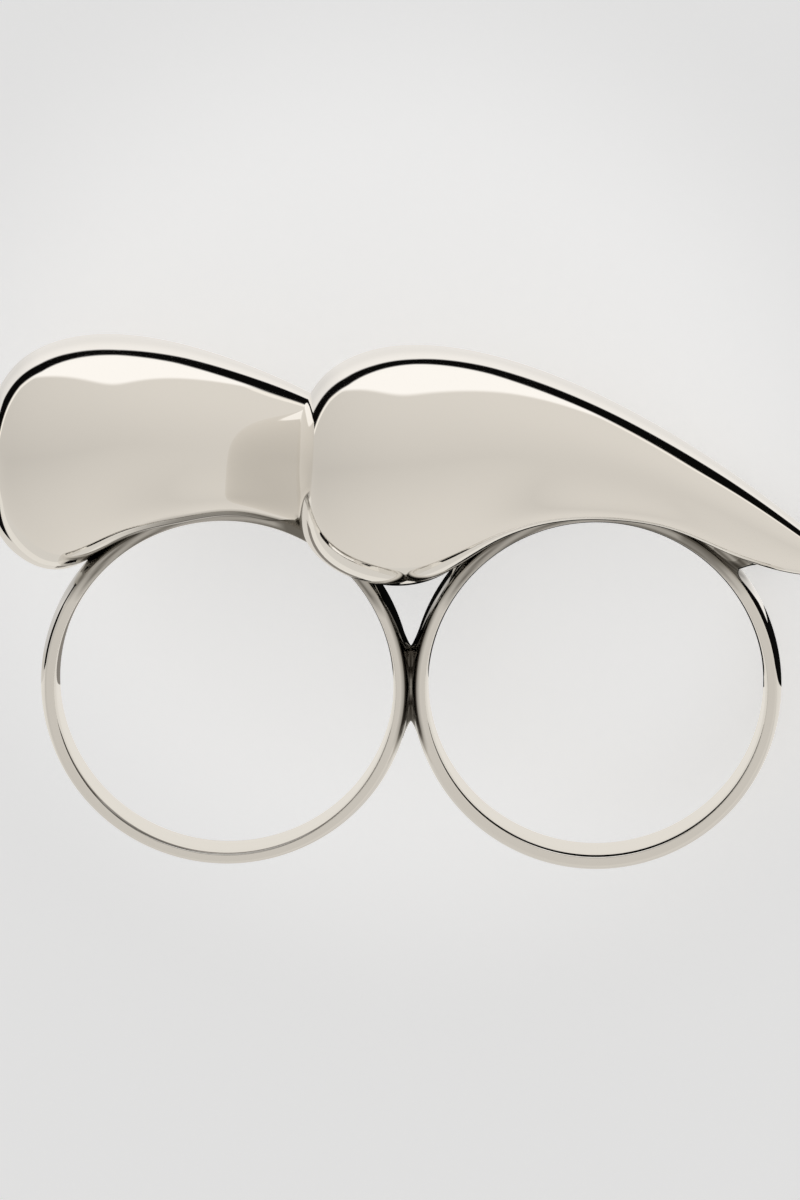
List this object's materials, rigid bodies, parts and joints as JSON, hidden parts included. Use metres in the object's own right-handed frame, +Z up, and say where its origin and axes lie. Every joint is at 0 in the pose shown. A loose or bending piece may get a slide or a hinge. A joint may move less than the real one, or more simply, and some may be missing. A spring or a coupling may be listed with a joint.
{
  "type": "two finger ring",
  "caption": "Polished silver ring for neighbouring fingers: domed shanks soldered side by side under overlapping teardrops whose tails sweep sideways.",
  "frame": {"origin": "centre of the bounding box, on the surface that the ring lies on", "axes": "+Z up from that surface, +X from the left head towards the right tail, +Y from the palm side of the shanks towards the drops"},
  "size_m": [0.0436, 0.0272, 0.0126],
  "materials": {
    "silver": "mirror-polished sterling silver"
  },
  "bodies": {
    "root": {"two_finger_ring": "silver"}
  },
  "joints": []
}
